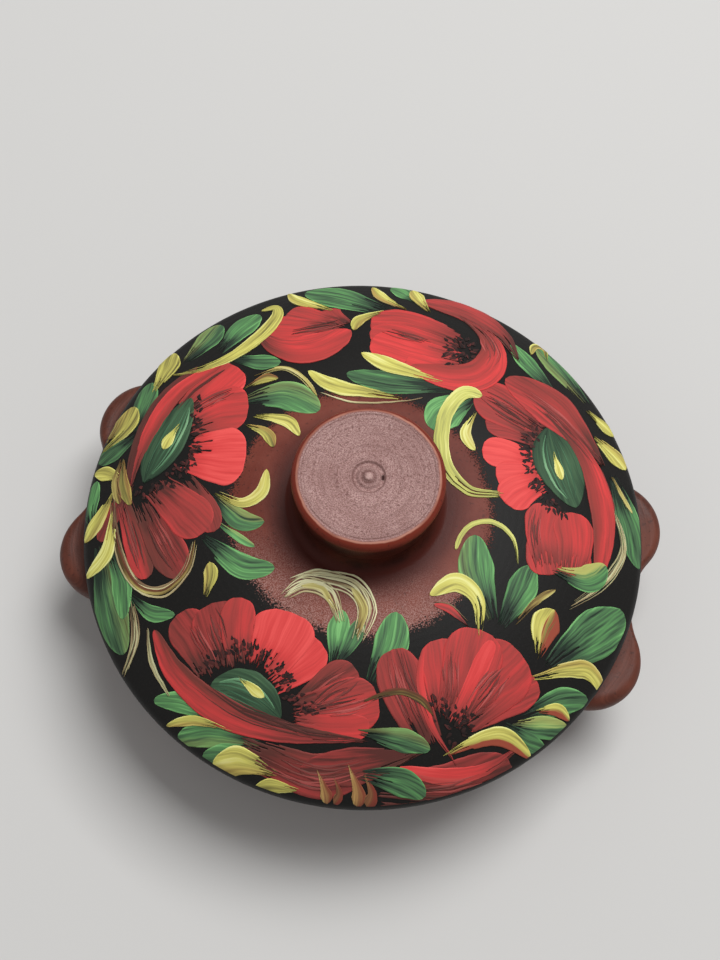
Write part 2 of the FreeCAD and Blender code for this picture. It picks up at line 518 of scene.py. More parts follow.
def earRib(rimPoint, angle):
    # One cross-section, from the root along the top, round the edge and back along the underside.
    edge, sink, fillet, dip = inMetres(ears, "edgeRound", "sink", "fillet", "thumbDip")
    lobePitch, thumbSet = inMetres(ears, "halfPitch", "thumbSet")
    thumbWidth, thumbReach = inMetres(ears, "thumbWidth", "thumbReach")
    middle = (earLow.z + earHigh.z) / 2
    half = (earHigh.z - earLow.z) / 2
    direction = Vector((math.cos(angle), math.sin(angle), 0.0))
    length = (rimPoint - direction * (wallRadius(middle) - sink)).length
    bend = min(edge, length * ears["edgeLimit"], half)
    rib = []

    def put(along, height, top):
        # along is the distance from the root; the root itself follows the curve of the wall
        level = middle + height
        root = direction * (wallRadius(level) - sink)
        place = root + (rimPoint - root) * (along / length)
        swell = fillet * max(0.0, 1 - max(0.0, along - sink) / fillet) ** 2
        offLobe = (abs(place.y) - lobePitch) / thumbWidth
        offSet = (length - along - thumbSet) / thumbReach
        press = math.exp(-(offLobe ** 2 + offSet ** 2))
        lift = swell - dip * press
        if not top:
            lift = -swell * ears["underFillet"] + dip * ears["underDip"] * press
        rib.append(Vector((place.x, place.y, level + lift)))
    flat = [(length - bend) * j / ears["topSteps"] for j in range(ears["topSteps"] + 1)]
    for along in flat:
        put(along, half, True)
    for j in range(1, ears["edgeSteps"]):
        turn = math.pi * j / ears["edgeSteps"]
        height = half * math.copysign(abs(math.cos(turn)) ** ears["edgeFullness"], math.cos(turn))
        put(length - bend + bend * math.sin(turn), height, turn < math.pi / 2)
    for along in reversed(flat):
        put(along, -half, False)
    return rib


def earMesh(name, side):
    outline = earOutline()
    first, last = (math.atan2(p.y, p.x) for p in (outline[0], outline[-1]))
    verts = []
    ribs = []
    for k, rimPoint in enumerate(outline):
        share = k / (len(outline) - 1)
        rib = earRib(rimPoint, first + (last - first) * share)
        ribs.append(range(len(verts), len(verts) + len(rib)))
        verts.extend((place.x * side, place.y, place.z) for place in rib)
    faces = []
    for here, there in zip(ribs, ribs[1:]):
        for j in range(len(here)):
            after = (j + 1) % len(here)
            faces.append((here[j], there[j], there[after], here[after]))
    faces.append(tuple(ribs[0]))
    faces.append(tuple(reversed(ribs[-1])))
    if side > 0:
        faces = [tuple(reversed(face)) for face in faces]
    mesh = bpy.data.meshes.new(name)
    mesh.from_pydata(verts, [], faces)
    mesh.polygons.foreach_set("use_smooth", [True] * len(mesh.polygons))
    mesh.update()
    return mesh


earFinish = clayMaterial("earClay")
for node, side in (("ear_right", 1), ("ear_left", -1)):
    mesh = earMesh(node + "_slab", side)
    mesh.materials.append(earFinish)
    piece = newObject(mesh.name, mesh)
    finished(piece, "dish", node)
    print(piece.name, "made,", len(mesh.polygons), "faces")


# Lid

lid = {
    "edgeHeight": 7.0, "rimRound": 3.0, "lowerRound": 2.0, "wall": 7.0, "crownLedge": 1.5,
    "flangeDepth": 9.0, "flangeWall": 6.0, "flangeRound": 2.0, "clearance": 1.5,
    "segments": 256, "ringPitch": 3.2, "ringDepth": 0.03, "wobble": 0.25, "seed": 11.0,
}
lidLow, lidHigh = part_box("lid_shell")
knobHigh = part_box("lid_knob")[1]
lidRadius = lidHigh.x
crownHeight = lidHigh.z
seatHeight = lidLow.z + lid["flangeDepth"] * mm
crownRadius = knobHigh.x + lid["crownLedge"] * mm
domeRun = lidRadius - crownRadius
domeFall = crownHeight - seatHeight - lid["edgeHeight"] * mm
domeRadius = (domeRun ** 2 + domeFall ** 2) / (2 * domeFall)
domeCentre = (crownRadius, crownHeight - domeRadius)


def lidProfile():
    wall, rimRound, lowerRound, flangeRound = inMetres(lid, "wall", "rimRound", "lowerRound", "flangeRound")
    flangeOuter = mouthRadius - lid["clearance"] * mm
    flangeInner = flangeOuter - lid["flangeWall"] * mm
    rimCorner = (lidRadius, seatHeight + lid["edgeHeight"] * mm)
    endAngle = math.acos((domeRun - rimRound) / domeRadius)
    domeEnd = (domeCentre[0] + domeRadius * math.cos(endAngle),
               domeCentre[1] + domeRadius * math.sin(endAngle))
    innerRadius = domeRadius - wall
    innerAngle = math.acos((flangeInner - crownRadius) / innerRadius)
    profile = [(0.0, crownHeight - wall, 0.0)]
    lineTo(profile, crownRadius, crownHeight - wall, 1.0, 2.0)
    arcTo(profile, domeCentre, innerRadius, math.pi / 2, innerAngle, 1.0, 2.0)
    lineTo(profile, flangeInner, lidLow.z, 0.0, 2.0)
    lineTo(profile, flangeOuter - flangeRound, lidLow.z, 0.0, 2.0)
    roundTo(profile, (flangeOuter, lidLow.z), (flangeOuter, lidLow.z + flangeRound), 0.0, 6)
    lineTo(profile, flangeOuter, seatHeight, 0.0, 2.0)
    lineTo(profile, lidRadius - lowerRound, seatHeight, 0.0, 2.0)
    roundTo(profile, (lidRadius, seatHeight), (lidRadius, seatHeight + lowerRound), 0.0, 7)
    lineTo(profile, lidRadius, rimCorner[1] - rimRound, 0.0, 1.0)
    roundTo(profile, rimCorner, domeEnd, 0.0, 9)
    arcTo(profile, domeCentre, domeRadius, endAngle, math.pi / 2, 1.0, 0.8)
    lineTo(profile, 0.0, crownHeight, 0.0, 6.0)
    return profile


layoutTurn = math.radians(7.5)   # the painting's own up direction is turned from +Y by this
ground = {
    "black": colour(24, 23, 22), "grey": colour(40, 38, 36),
    "clay": colour(122, 62, 50), "deepClay": colour(102, 46, 36), "paintedSheen": colour(188, 152, 144),
    "knobShadow": colour(72, 29, 22), "knobShadowFrom": 36.0, "knobShadowTo": 50.0,    # painted shade: darker clay round the knob, for its shadow
    "bareCentre": (-2.0, -4.0), "bareRadius": 58.0, "edgeWander": 3.0, "sponge": 15.0,
    "coatFrom": (0.8, 1.8),         # heights above the seat between which the black ground starts
    "paintedSheenFront": (-15.0, -50.0),    # the painted sheen grows towards the front, over this stretch of Y
    "paintedSheenReach": 30.0,              # and over this much of the bare clay's edge
    "grain": 0.8, "blotch": 22.0, "markPitch": 1.2, "markRise": 0.3, "bump": 0.08,
}


def lidMaterial():
    material, tree, shader = newMaterial("lidGround", 0.5, 0.12)
    where, clay, marks = clayTexture(tree, ground)
    y, z = split(where)[1:]
    # the black ground is sponged on round the bare middle
    centre = Matrix.Rotation(layoutTurn, 2) @ Vector(ground["bareCentre"]) * mm
    away = vectorCalc("LENGTH", vectorCalc("SUBTRACT", flattened(where), (centre.x, centre.y, 0.0)))
    away = away + (noise(where, 40.0, 3.0, 0.6) - 0.5) * (ground["edgeWander"] * mm * 2)
    edge = ground["bareRadius"] * mm
    sponge = ground["sponge"] * mm / 2
    cover = rise(away, edge - sponge, edge + sponge)
    sponged = rise(cover + (noise(where, 1500.0, 2.0, 0.6) - 0.5) * 1.7, 0.42, 0.58)
    painted = sponged * rise(z, *(seatHeight + lift * mm for lift in ground["coatFrom"]))
    bare = blendColour(clay["Blotch"], ground["deepClay"], ground["clay"])
    # painted shade: the clay darkens towards the knob, for the shadow round its foot
    knobShadow = rise(fromAxis(where), ground["knobShadowTo"] * mm, ground["knobShadowFrom"] * mm)
    bare = blendColour(knobShadow, bare, ground["knobShadow"])
    bare = blendColour(clay["Speck"] * 0.4, bare, clayLook["speck"])
    # painted sheen: paler speckle on the bare clay, growing towards the front
    front = rise(y, *(at * mm for at in ground["paintedSheenFront"]))
    front = front * rise(away, edge - ground["paintedSheenReach"] * mm, edge)
    speckle = rise(noise(where, 2300.0, 2.0, 0.7), 0.4, 0.68)      # painted sheen, speckled over the high grains
    bare = blendColour(front * speckle * 0.75, bare, ground["paintedSheen"])
    coat = blendColour(rise(clay["Grain"], 0.45, 0.8, 0.0, 0.4), ground["black"], ground["grey"])
    feed(shader["Base Color"], blendColour(painted, bare, coat))
    feed(shader["Roughness"], rise(painted, 0.0, 1.0, 0.44, 0.52))
    addBump(shader, clay["Grain"] + marks * 0.15 + painted * 0.8, ground["bump"])
    return material


lidFinish = lidMaterial()
lidPiece = turnedPiece("lid_dome", lidProfile(), lid, lidFinish)
# a finer copy without throwing marks, which the brush strokes are laid on
canvas = turnedPiece("paintCanvas", lidProfile(), {**lid, "segments": 1000, "ringDepth": 0.0}, lidFinish)
finished(lidPiece, "lid", "lid_shell")


# Knob

knob = {
    "radius": 33.4, "neckRadius": 30.8, "flareHeight": 9.0, "edgeRound": 3.4, "topDip": 1.2,
    "headroom": 0.2,      # left under the top of the frame's knob
    "ringRadius": 6.0, "ringWidth": 3.0, "ringDepthCut": 0.9,
    "nubRadius": 2.6, "nubHeight": 1.35, "nubFoot": 1.2, "nubFootHeight": 0.7,
    "nubShoulder": 0.8, "nubCrown": 0.75,      # where its foot ends and its top rounds, shares of its radius
    "edgeGroove": 29.0, "edgeGrooveWidth": 0.5, "edgeGrooveDepth": 0.3,
    "skirtRadius": 37.0, "skirtSink": 0.05, "baseSink": 1.0, "topSteps": 96, "ringSteps": 8,
    "segments": 200, "ringPitch": 1.45, "ringDepth": 0.025, "wobble": 0.3, "seed": 5.0,
}
knobTop = knobHigh.z - knob["headroom"] * mm


def knobProfile():
    radius, neck, edge, dip = inMetres(knob, "radius", "neckRadius", "edgeRound", "topDip")
    skirtRadius, skirtSink, baseSink = inMetres(knob, "skirtRadius", "skirtSink", "baseSink")
    nub, nubHeight = inMetres(knob, "nubRadius", "nubHeight")
    nubFoot, nubFootHeight = inMetres(knob, "nubFoot", "nubFootHeight")
    cut, grooveDepth = inMetres(knob, "ringDepthCut", "edgeGrooveDepth")
    ringInner, ringOuter = ((knob["ringRadius"] + knob["ringWidth"] * half) * mm for half in (-0.5, 0.5))
    rimInner = radius - edge
    baseHeight = crownHeight - baseSink

    def topHeight(at):
        # shallow dish with a thin groove near the edge
        height = knobTop - dip + dip * (at / rimInner) ** 2
        offGroove = (at / mm - knob["edgeGroove"]) / knob["edgeGrooveWidth"]
        return height - grooveDepth * math.exp(-offGroove * offGroove)
    profile = [(0.0, baseHeight, 0.0)]
    lineTo(profile, skirtRadius - baseSink, baseHeight, 0.0, 6.0)
    lineTo(profile, skirtRadius, crownHeight - skirtSink, 0.0, 1.0)
    roundTo(profile, (neck, crownHeight), (neck, crownHeight + knob["flareHeight"] * mm), 0.3, 26)
    lineTo(profile, radius, knobTop - edge, 0.8, 0.5)
    roundTo(profile, (radius, knobTop), (rimInner, knobTop), 0.2, 12)
    for k in range(1, knob["topSteps"] + 1):
        at = rimInner + (ringOuter - rimInner) * k / knob["topSteps"]
        profile.append((at, topHeight(at), 1.0))
    inside = topHeight(ringInner)
    for k in range(1, knob["ringSteps"] + 1):
        share = k / knob["ringSteps"]
        at = ringOuter + (ringInner - ringOuter) * share
        profile.append((at, inside - cut * math.sin(math.pi * share), 0.3))
    lineTo(profile, nub + nubFoot, inside, 0.3, 0.4)
    roundTo(profile, (nub, inside), (nub * knob["nubShoulder"], inside + nubFootHeight), 0.0, 5)
    roundTo(profile, (nub * knob["nubCrown"], inside + nubHeight), (0.0, inside + nubHeight), 0.0, 6)
    return profile


knobLook = {
    # painted shade: the two side colours make the knob's side much darker than its top
    "side": colour(74, 33, 25), "sideShadeDeep": colour(42, 20, 16),
    "edge": colour(116, 46, 33), "edgePale": colour(178, 122, 104),
    "top": colour(126, 88, 83), "topPaleSandAndSheen": colour(194, 160, 155), "topDark": colour(92, 58, 54),
    "nubHighlightPale": colour(204, 172, 165),
    "darkMark": colour(58, 34, 32), "darkMarkSide": (0.98, 0.2, 0.0), "darkMarkWidth": (1.2, 0.3),
    "footBlend": (0.5, 4.0),       # heights above the crown where the painted shade at the foot turns into the knob's side
    "edgeBlend": (-7.5, -2.0),     # heights from the top where the side turns into the red edge
    # where the pale top and the pale line round it start, by height and by radius from the edge's round
    "topFrom": (-4.0, -3.0), "topOut": (0.9, -0.3),
    "paleLineFrom": (-3.0, -2.0), "paleLineIn": (0.1, 0.6), "paleLineOut": (1.6, 1.0),
    "wander": 0.6, "grain": 0.7, "blotch": 16.0, "markPitch": 0.7, "markRise": 1.0, "bump": 0.1,
}


def knobMaterial():
    material, tree, shader = newMaterial("knobClay", 0.5, 0.1)
    where, clay, marks = clayTexture(tree, knobLook)
    sand = noise(where, 1900.0, 3.0, 0.7)
    height = split(where)[2]
    radius = fromAxis(where) + (clay["Blotch"] - 0.5) * (knobLook["wander"] * mm)
    roundStart = (knob["radius"] - knob["edgeRound"]) * mm

    def between(value, start, name):
        low, high = (start + offset * mm for offset in knobLook[name])
        return rise(value, low, high)
    onTop = between(radius, roundStart, "topOut") * between(height, knobTop, "topFrom")
    # painted shade: the side is dark clay with blotches, turning lighter red towards the top edge
    side = blendColour(clay["Blotch"], knobLook["sideShadeDeep"], knobLook["side"])
    side = blendColour(between(height, knobTop, "edgeBlend"), side, knobLook["edge"])
    side = blendColour(clay["Speck"] * 0.4, side, knobLook["sideShadeDeep"])
    # painted shade at the foot, in the same colour as the painted shade round the knob on the lid
    side = blendColour(between(height, crownHeight, "footBlend"), ground["knobShadow"], side)
    # a pale line along the start of the edge's round, broken up by blotches
    paleLine = between(radius, roundStart, "paleLineIn") * between(radius, roundStart, "paleLineOut")
    paleLine = paleLine * rise(clay["Blotch"], 0.0, 0.7, 0.5, 1.0) * between(height, knobTop, "paleLineFrom")
    side = blendColour(paleLine, side, knobLook["edgePale"])
    # pale speckle on the top: partly sandy clay, partly painted sheen
    top = blendColour(rise(sand, 0.3, 0.7), knobLook["top"], knobLook["topPaleSandAndSheen"])
    top = blendColour(rise(clay["Blotch"], 0.2, 1.0, 0.0, 0.3), top, knobLook["top"])
    top = blendColour(rise(marks, 0.58, 0.42, 0.0, 0.22), top, knobLook["topDark"])
    top = blendColour(clay["Speck"] * 0.5, top, knobLook["topDark"])
    # painted shade: dark lines in the groove near the edge, on both sides of the ring and at the nub's foot
    for at, width, strength in ((knob["edgeGroove"], 0.45, 0.55), (knob["ringRadius"] + 1.1, 0.9, 0.55),
                                (knob["ringRadius"] - 1.3, 0.7, 0.3), (knob["nubRadius"], 1.2, 0.75)):
        line = rise(abs(radius - at * mm), width * mm, 0.0) * strength
        line = line * rise(clay["Blotch"], 0.0, 1.0, 0.7, 1.0)
        top = blendColour(line, top, knobLook["topDark"])
    # painted highlight: the nub's top paler towards its middle
    paintedNubHighlight = rise(radius, knob["nubRadius"] * mm * knob["nubCrown"], 0.5 * mm) * 0.5
    top = blendColour(paintedNubHighlight, top, knobLook["nubHighlightPale"])
    # a short dark mark in the ring, on one side
    facing = vectorCalc("DOT_PRODUCT", vectorCalc("NORMALIZE", flattened(where)), knobLook["darkMarkSide"])
    darkMark = between(abs(radius - knob["ringRadius"] * mm), 0.0, "darkMarkWidth") * rise(facing, 0.965, 0.995)
    top = blendColour(darkMark, top, knobLook["darkMark"])
    feed(shader["Base Color"], blendColour(onTop, side, top))
    feed(shader["Roughness"], rise(onTop, 0.0, 1.0, 0.38, 0.6))
    addBump(shader, sand + marks * 0.35, knobLook["bump"])
    return material


knobPiece = turnedPiece("knob_drum", knobProfile(), knob, knobMaterial())
finished(knobPiece, "lid", "lid_knob")


# Painting. Each stroke is (half width, tone, load, points): millimetres on the lid's plan, from the
# round head of the stroke, where the brush is pressed, to its tail, where it lifts. tone makes it
# darker or brighter; load is how much second colour the brush carries, on its left or right side.
# Stamens are (scatter, heart of the bloom, points) and become many short dabs.

underSweep = [(-74, -24), (-76, -38), (-86, -47), (-98, -44), (-107, -32), (-114, -14), (-116, 0)]
leftBloom = {
    "petals": [
        (12, 0.1, 0.3, [(-66, 66), (-76, 54), (-86, 42)]),
        (13, 0.02, -0.2, [(-58, 43), (-71, 41), (-84, 34)]),
        (15, 0.3, 0, [(-56, 17), (-68, 17), (-83, 18)]),
        (4.5, -0.3, 0.4, [(-119, -22), (-115, -10), (-109, 3)]),
        (6, -0.05, 0.9, [(-94, -41), (-102, -23), (-110, -5)]),
        (6, -0.25, 0.3, [(-66, -20), (-72, -8), (-81, 4)]),
        (8.5, -0.28, -0.6, [(-78, -40), (-89, -24), (-100, -6)]),
        (10.5, -0.12, 0.2, [(-70, -20), (-82, -9), (-95, 2)]),
    ],
    "lips": [
        (3, -0.45, 0.4, [(-86, 68), (-101, 50), (-109, 24), (-110, -6)]),
        (4.5, 0.1, -0.6, [(-74, 68), (-92, 55), (-103, 33), (-108, 4)]),
        (0.9, -0.7, 0, [(-72, 65), (-84, 54), (-92, 42)]),
    ],
    "capsules": [(9.5, 0, 0, [(-86, 49), (-94, 26), (-102, 5)])],
    "stamens": [(4, (-95, 26), [(-84, 47), (-81, 32), (-82, 16), (-90, 5), (-104, 0)])],
    "leaves": [
        (6, -0.1, 0, [(-108, 62), (-109, 50), (-112, 34)]),
        (6, -0.2, 0, [(-127, 18), (-120, 24), (-111, 30)]),
        (4, 0.1, 0, [(-126, 9), (-127, -4), (-125, -15)]),
        (8, -0.15, 0.2, [(-101, -73), (-110, -52), (-119, -25)]),
        (5, 0.05, 0, [(-103, -58), (-106, -42), (-114, -27)]),
        (3.5, 0, 0, [(-79, -57), (-90, -56), (-100, -49)]),
    ],
    "commas": [
        (3, 0.1, 0, [(-95, 21), (-93, 27), (-90, 33)]),
        (6, -0.1, 0, [(-100, 80), (-101, 70), (-105, 57)]),
        (6.5, -0.15, 0.2, [(-114, 48), (-117, 37), (-126, 25)]),
        (4, 0, 0, [(-128, 13), (-122, 12), (-114, 8)]),
        (4, 0, 0.2, [(-127, -21), (-122, -12), (-117, 0)]),
        (4, 0.2, 0, [(-124, -38), (-115, -27), (-115, -9)]),
        (3, -0.25, 0.4, [(-107, -6), (-112, 6), (-114, 18)]),
        (3.5, -0.05, 0.2, [(-66, -34), (-65, -40), (-66, -48)]),
    ],
    "tendrils": [
        (2, -0.1, 0.7, [(-112, -5), (-116, 6), (-115, 16)]),
        (1.1, -0.35, 0.9, underSweep),
    ],
    "hairs": [
        (2.4, 0, 0, underSweep),
        (2.0, 0.3, 1.0, [(-100, -82), (-96, -66), (-100, -50)]),
        (1.0, 0.0, 1.0, [(-76, -93), (-87, -78), (-91, -62)]),
    ],
    "shades": [
        (3.5, 0, 0.3, [(-80, -37), (-90, -23), (-100, -7)]),
        (2.5, 0, 0.8, [(-96, -38), (-103, -22), (-110, -6)]),
        (3, 0.1, 0, [(-66, 52), (-75, 47), (-85, 40)]),
    ],
}

innerLeftSpray = {
    "leaves": [
        (8.5, 0.05, 0.2, [(-25, 43), (-42, 50), (-60, 46)]),
        (5, 0, 0, [(-46, 69), (-56, 69), (-68, 71)]),
        (5, -0.1, 0.4, [(-44, -14), (-55, -14), (-68, -3)]),
        (6, 0.02, 0, [(-37, -35), (-52, -35), (-70, -23)]),
        (2, 0.2, 0.3, [(-47, -26), (-55, -22), (-64, -16)]),
    ],
    "commas": [
        (2.6, -0.3, 0.6, [(-46, 59), (-52, 59), (-60, 54)]),
        (3.2, 0.05, 0, [(-33, 29), (-40, 36), (-54, 38)]),
        (3, -0.2, 0.4, [(-44, 22), (-48, 29), (-57, 33)]),
        (3.2, 0.1, 0.15, [(-46, 11), (-47, 0), (-55, -6), (-67, -2)]),
    ],
    "tendrils": [
        (1.3, 0.1, 0, [(-27, 50), (-35, 60), (-45, 65), (-58, 60)]),
    ],
    "hairs": [(0.45, -0.1, 0, [(-30, 53), (-10, 48), (15, 52), (23, 55)])],
}

topLeftBloom = {
    "petals": [
        (8, -0.2, 0.2, [(-30, 104), (-26, 99), (-19, 94)]),
        (9, -0.12, 0.2, [(-47, 102), (-37, 98), (-23, 94)]),
        (11, -0.05, 0, [(-58, 90), (-46, 89), (-26, 89)]),
    ],
    "lips": [
        (9, 0.05, -0.3, [(-15, 91), (-25, 82), (-37, 77), (-49, 79), (-60, 88)]),
    ],
    "shades": [(3.2, -0.2, 0, [(-15, 98), (-26, 93), (-43, 88)])],
    "leaves": [
        (7, 0, 0, [(-60, 102), (-68, 92), (-76, 78)]),
        (7, -0.1, 0.3, [(-79, 97), (-84, 86), (-92, 74)]),
        (9, -0.08, 0, [(-40, 119), (-22, 115), (2, 106)]),
        (5, 0, 0, [(2, 127), (8, 124), (15, 117)]),
    ],
    "commas": [
        (4, 0, 0, [(-60, 105), (-53, 107), (-52, 98), (-58, 86), (-70, 73), (-84, 66), (-98, 65)]),
        (3.6, 0.1, 0.2, [(-48, 119), (-42, 112), (-26, 105)]),
        (3.2, 0, 0.5, [(-7, 126), (-1, 117), (10, 110)]),
        (3.2, -0.1, 0.3, [(-14, 91), (-11, 99), (-2, 105)]),
        (4, 0, 0.3, [(13, 127), (16, 120), (21, 112)]),
    ],
}

topRightBloom = {
    "petals": [
        (13, -0.05, 0.2, [(-6, 95), (14, 96), (36, 90)]),
        (9, 0.0, 0.1, [(-6, 90), (12, 89), (34, 85)]),
        (11, 0.1, 0, [(-5, 85), (15, 80), (37, 78)]),
        (7, 0.08, 0, [(12, 74), (24, 72), (38, 74)]),
    ],
    "lips": [
        (7.5, -0.15, 0.3, [(18, 118), (40, 115), (58, 103), (66, 88)]),
        (8.5, 0.05, -0.5, [(14, 71), (34, 68), (48, 73), (54, 87), (50, 100), (38, 110)]),
    ],
    "shades": [
        (2.6, -0.1, 0, [(28, 86), (12, 90), (-2, 93)]),
        (4, 0.1, 0, [(50, 76), (54, 88), (49, 101), (38, 110)]),
    ],
    "stamens": [(5, (41, 86), [(33, 90), (41, 92), (43, 83), (36, 79), (33, 85), (39, 87), (39, 82)])],
    "leaves": [
        (6.5, -0.2, 0, [(-15, 64), (6, 61), (36, 62)]),
        (5.5, 0, 0, [(63, 98), (70, 88), (83, 73)]),
        (6.5, -0.1, 0.3, [(76, 101), (86, 90), (100, 73)]),
    ],
    "commas": [
        (4.6, 0.1, 0, [(-9, 77), (4, 71), (29, 65)]),
        (4.2, 0.1, 0, [(-33, 64), (-18, 56), (10, 53)]),
        (2, -0.1, 0.3, [(73, 94), (75, 101), (80, 101), (81, 94)]),
    ],
}

rightBloom = {
    "petals": [
        (8, -0.2, 0, [(51, 46), (62, 46), (77, 42)]),
        (12, -0.14, 0.2, [(46, 62), (58, 57), (78, 47)]),
        (8, 0.3, 0, [(50, 31), (60, 31), (75, 30)]),
        (7, 0.28, 0, [(57, 19), (66, 21), (77, 25)]),
        (8.5, 0.25, 0, [(62, 6), (68, 13), (78, 20)]),
        (9.5, -0.1, 0.2, [(84, -24), (81, -12), (83, 0)]),
        (9, -0.06, -0.2, [(94, -23), (95, -12), (94, 0)]),
        (10.5, -0.06, -0.2, [(83, 9), (81, -5), (83, -19)]),
        (10, -0.03, 0.2, [(93, 8), (95, -6), (94, -19)]),
    ],
    "lips": [
        (3, -0.3, 0.3, [(105, 38), (112, 14), (111, -8)]),
        (12, -0.12, -0.3, [(60, 73), (84, 61), (108, 38)]),
        (6.3, -0.02, -0.6, [(107, -21), (109, 8), (100, 38), (80, 58)]),
        (1.6, -0.05, 0, [(33, -45), (40, -46), (48, -52)]),
    ],
    "frontLeaves": [(6.5, 0.0, 0.9, [(111, -13), (101, -22), (87, -21)])],
    "capsules": [(12.5, 0, 0, [(95, 11), (87, 30), (81, 50)])],
    "stamens": [(4, (84, 30), [(76, 48), (71, 38), (74, 25), (79, 14), (90, 7)])],
    "leaves": [
        (8, -0.1, 0, [(128, -9), (123, 11), (114, 32)]),
        (8.5, -0.02, 0.15, [(49, -11), (51, -28), (59, -48)]),
        (7, -0.12, 0, [(76, -21), (71, -34), (64, -49)]),
        (9.5, 0.1, 0, [(27, 38), (32, 48), (44, 58)]),
    ],
    "commas": [
        (2.4, 0.25, 0, [(88, 23), (86, 29), (84, 36)]),
        (3.5, 0, 0, [(115, 57), (110, 61), (103, 66)]),
        (5, 0.05, 0.2, [(121, 40), (115, 45), (105, 52)]),
        (3, 0.15, 0.2, [(47, 30), (42, 38), (46, 50)]),
        (4.5, 0.15, 0, [(31, -41), (42, -34), (52, -40), (54, -55)]),
    ],
    "tendrils": [
        (1, 0.3, 0, [(124, 17), (119, 24), (114, 32)]),
        (1.4, -0.1, 0, [(87, -30), (79, -36), (71, -46)]),
    ],
    "ribbons": [
        (3.5, 0.1, 0, [(49, 60), (40, 60), (32, 45), (33, 23), (45, 10), (59, 10)]),
        (1.1, 0.0, 0, [(41, -19), (43, -12), (48, -6), (55, -4), (62, -6), (67, -12), (69, -21)]),
    ],
    "hairs": [
        (2.0, 0.12, 1.0, [(114, 16), (120, -2), (110, -22), (92, -38)]),
        (0.5, 0.0, 0, [(32, -44), (40, -44), (49, -51)]),
    ],
    "shades": [
        (5, 0, 0, [(49, 60), (60, 55), (76, 47)]),
        (4, 0.05, 0, [(66, 68), (86, 57), (106, 38)]),
        (3, 0, 0, [(77, 6), (75, -5), (78, -18)]),
    ],
}

bottomRightBloom = {
    "petals": [
        (11, -0.36, -0.3, [(74, -106), (48, -118), (18, -122)]),
        (10.5, -0.2, 0.2, [(17, -66), (24, -83), (36, -102)]),
        (8, -0.12, 0, [(82, -71), (68, -80), (52, -91)]),
        (14.5, -0.1, 0.2, [(73, -60), (62, -73), (49, -89)]),
        (11.5, -0.05, -0.2, [(38, -59), (41, -73), (43, -89)]),
        (13.5, -0.08, 0, [(54, -53), (51, -70), (46, -89)]),
        (4.0, 0.12, 0, [(60, -57), (53, -75), (46, -92)]),
    ],
    "lips": [
        (1.8, 0.1, 0.4, [(30, -64), (30, -78), (36, -94), (48, -108)]),
        (3.4, 0.2, 0.4, [(24, -113), (44, -114), (61, -109), (76, -98)]),
    ],
    "stamens": [(6, (46, -96), [(37, -88), (45, -90), (53, -91), (46, -98)])],
    "frontLeaves": [
        (5, -0.15, 0.2, [(37, -104), (24, -102), (7, -101)]),
        (6, -0.08, 0, [(37, -122), (26, -118), (9, -117)]),
    ],
    "leaves": [
        (8, 0.05, 0, [(17, -50), (16, -64), (9, -80)]),
        (11, -0.1, 0, [(121, -32), (106, -46), (87, -63)]),
        (6, -0.1, 0, [(106, -73), (94, -76), (77, -85)]),
        (5, 0, 0.6, [(98, -86), (88, -88), (71, -90)]),
        (5, -0.1, 0, [(89, -97), (80, -96), (69, -91)]),
    ],
    "commas": [
        (7.3, -0.05, -1.7, [(87, -39), (83, -47), (81, -59)]),
        (4.2, 0.05, 0.3, [(114, -69), (103, -61), (80, -69)]),
        (3, 0.0, -1.6, [(98, -83), (92, -80), (83, -82)]),
        (4.2, 0.0, -1.7, [(82, -101), (66, -95), (45, -105)]),
    ],
    "flames": [
        (3.2, 0.05, 0.9, [(8, -129), (8, -124), (3, -114)]),
        (2.8, -0.2, 1.2, [(12, -129), (14, -124), (10, -117)]),
        (2.6, 0.05, 0.9, [(-5, -129), (-6, -125), (-10, -117)]),
        (2.0, -0.2, 1.2, [(-2, -129), (0, -125), (-3, -119)]),
    ],
    "tendrils": [(1.5, -0.5, 0.9, [(37, -91), (31, -85), (20, -83), (7, -88)])],
    "hairs": [(1.5, -0.35, 0.4, [(36, -90), (31, -85), (20, -83), (8, -88)])],
    "shades": [
        (5.5, 0, 0.2, [(17, -66), (24, -83), (35, -100)]),
        (5, 0.12, 0, [(68, -66), (61, -75), (52, -88)]),
        (4, 0.12, 0, [(41, -61), (43, -73), (44, -86)]),
        (4, 0, 0.4, [(66, -111), (46, -120), (22, -123)]),
    ],
}

